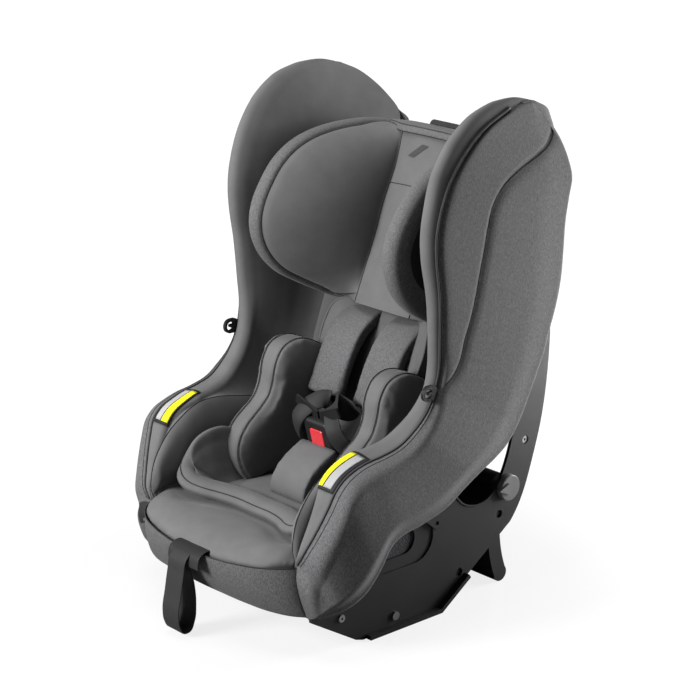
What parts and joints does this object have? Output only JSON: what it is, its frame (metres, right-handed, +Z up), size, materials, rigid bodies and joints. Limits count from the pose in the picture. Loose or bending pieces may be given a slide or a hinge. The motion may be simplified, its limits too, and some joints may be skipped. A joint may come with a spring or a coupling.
{
  "type": "convertible child car seat",
  "caption": "Convertible child car seat with padded wings, sliding headrest, five-point harness, removable infant insert and a moulded base with a fold-down foot",
  "frame": {"origin": "on the floor, on the symmetry plane, on the underside of the base floor, under the middle of its flat facet", "axes": "+Z up, the child faces -Y, +X is the side on the viewer's right when looking at the seat's front"},
  "size_m": [0.4106, 0.5193, 0.697],
  "materials": {
    "base_plastic": "fine-grained satin black moulding",
    "steel": "zinc-plated steel",
    "knob_grey": "mid-grey satin plastic",
    "mesh": "black stretched mesh",
    "knit_melange": "heather-grey melange knit with a fine vertical grain",
    "knit_smooth": "smooth dark-grey knit",
    "webbing": "tightly woven charcoal webbing",
    "button_red": "red button",
    "button_black": "black satin button",
    "label_yellow": "blank woven label with a yellow band"
  },
  "bodies": {
    "seat": {"adjuster_flap": "webbing", "adjuster_housing": "base_plastic", "adjuster_strap": "webbing", "apron_cover": "knit_melange", "base_back_bridge": "base_plastic", "base_floor": "base_plastic", "base_screws": "steel", "base_side_left": "base_plastic", "base_side_right": "base_plastic", "base_tie_bar": "steel", "belt_path_mesh": "mesh", "buckle_housing": "base_plastic", "crotch_anchor": "steel", "crotch_pad": "knit_smooth", "crotch_strap": "webbing", "harness_hooks": "base_plastic", "harness_yoke": "steel", "hip_strap_left": "webbing", "hip_strap_right": "webbing", "insert_back": "knit_smooth", "insert_bolster_left": "knit_smooth", "insert_bolster_right": "knit_smooth", "insert_seat": "knit_smooth", "seat_cushion": "knit_smooth", "seat_shell": "base_plastic", "shoulder_pad_left": "knit_melange", "shoulder_pad_right": "knit_melange", "shoulder_strap_left": "webbing", "shoulder_strap_right": "webbing", "side_label_left": "label_yellow", "side_label_right": "label_yellow", "skid_left": "base_plastic", "skid_right": "base_plastic", "tether_hook": "steel", "tether_strap": "webbing", "tongue_left": "base_plastic", "tongue_right": "base_plastic", "wing_cover_left": "knit_melange", "wing_cover_right": "knit_melange", "wing_pad_left": "knit_smooth", "wing_pad_right": "knit_smooth"},
    "foot": {"foot_panel": "base_plastic", "foot_shaft": "steel", "knob_right": "knob_grey", "knob_left": "knob_grey"},
    "headrest": {"headrest_shell": "base_plastic", "headrest_pad": "knit_smooth", "headrest_wing_right": "knit_melange", "headrest_wing_left": "knit_melange"},
    "headrest_handle": {"headrest_handle": "base_plastic"},
    "headrest_lock_pin": {"headrest_lock_pin": "steel"},
    "buckle_button": {"buckle_button": "button_red"},
    "buckle_latch": {"buckle_latch": "steel"},
    "adjuster_button": {"adjuster_button": "button_black"},
    "adjuster_cam": {"adjuster_cam": "steel"},
    "tether_gate": {"tether_gate": "steel"}
  },
  "joints": [
    {"name": "foot_fold", "type": "hinge", "parent": "seat", "child": "foot", "pos_m": [0, 0.197, 0.148], "axis": [-1, 0, 0], "range_deg": [0, 40]},
    {"name": "headrest_height", "type": "slide", "parent": "seat", "child": "headrest", "axis": [0, 0.342, 0.9397], "range_m": [0, 0.15]},
    {"name": "headrest_handle_pull", "type": "slide", "parent": "headrest", "child": "headrest_handle", "axis": [0, 0.342, 0.9397], "range_m": [0, 0.008]},
    {"name": "headrest_lock_pin_slide", "type": "slide", "parent": "headrest", "child": "headrest_lock_pin", "axis": [0, -0.9397, 0.342], "range_m": [0, 0.006]},
    {"name": "buckle_button_press", "type": "slide", "parent": "seat", "child": "buckle_button", "axis": [0, 0.9707, 0.2402], "range_m": [0, 0.0028]},
    {"name": "buckle_latch_slide", "type": "slide", "parent": "seat", "child": "buckle_latch", "axis": [0, 0.2402, -0.9707], "range_m": [0, 0.0028]},
    {"name": "adjuster_button_press", "type": "hinge", "parent": "seat", "child": "adjuster_button", "pos_m": [0, -0.162, 0.118], "axis": [1, 0, 0], "range_deg": [0, 10]},
    {"name": "adjuster_cam_turn", "type": "hinge", "parent": "seat", "child": "adjuster_cam", "pos_m": [0, -0.172, 0.1125], "axis": [-1, 0, 0], "range_deg": [0, 10]},
    {"name": "tether_gate_open", "type": "hinge", "parent": "seat", "child": "tether_gate", "pos_m": [-0.0162, 0.2805, 0.2463], "axis": [0, -1, 0], "range_deg": [0, 20]}
  ],
  "couplings": [
    {"joint": "headrest_lock_pin_slide", "follows": "headrest_handle_pull", "ratio": 0.75},
    {"joint": "buckle_latch_slide", "follows": "buckle_button_press", "ratio": 1},
    {"joint": "adjuster_cam_turn", "follows": "adjuster_button_press", "ratio": 1}
  ]
}
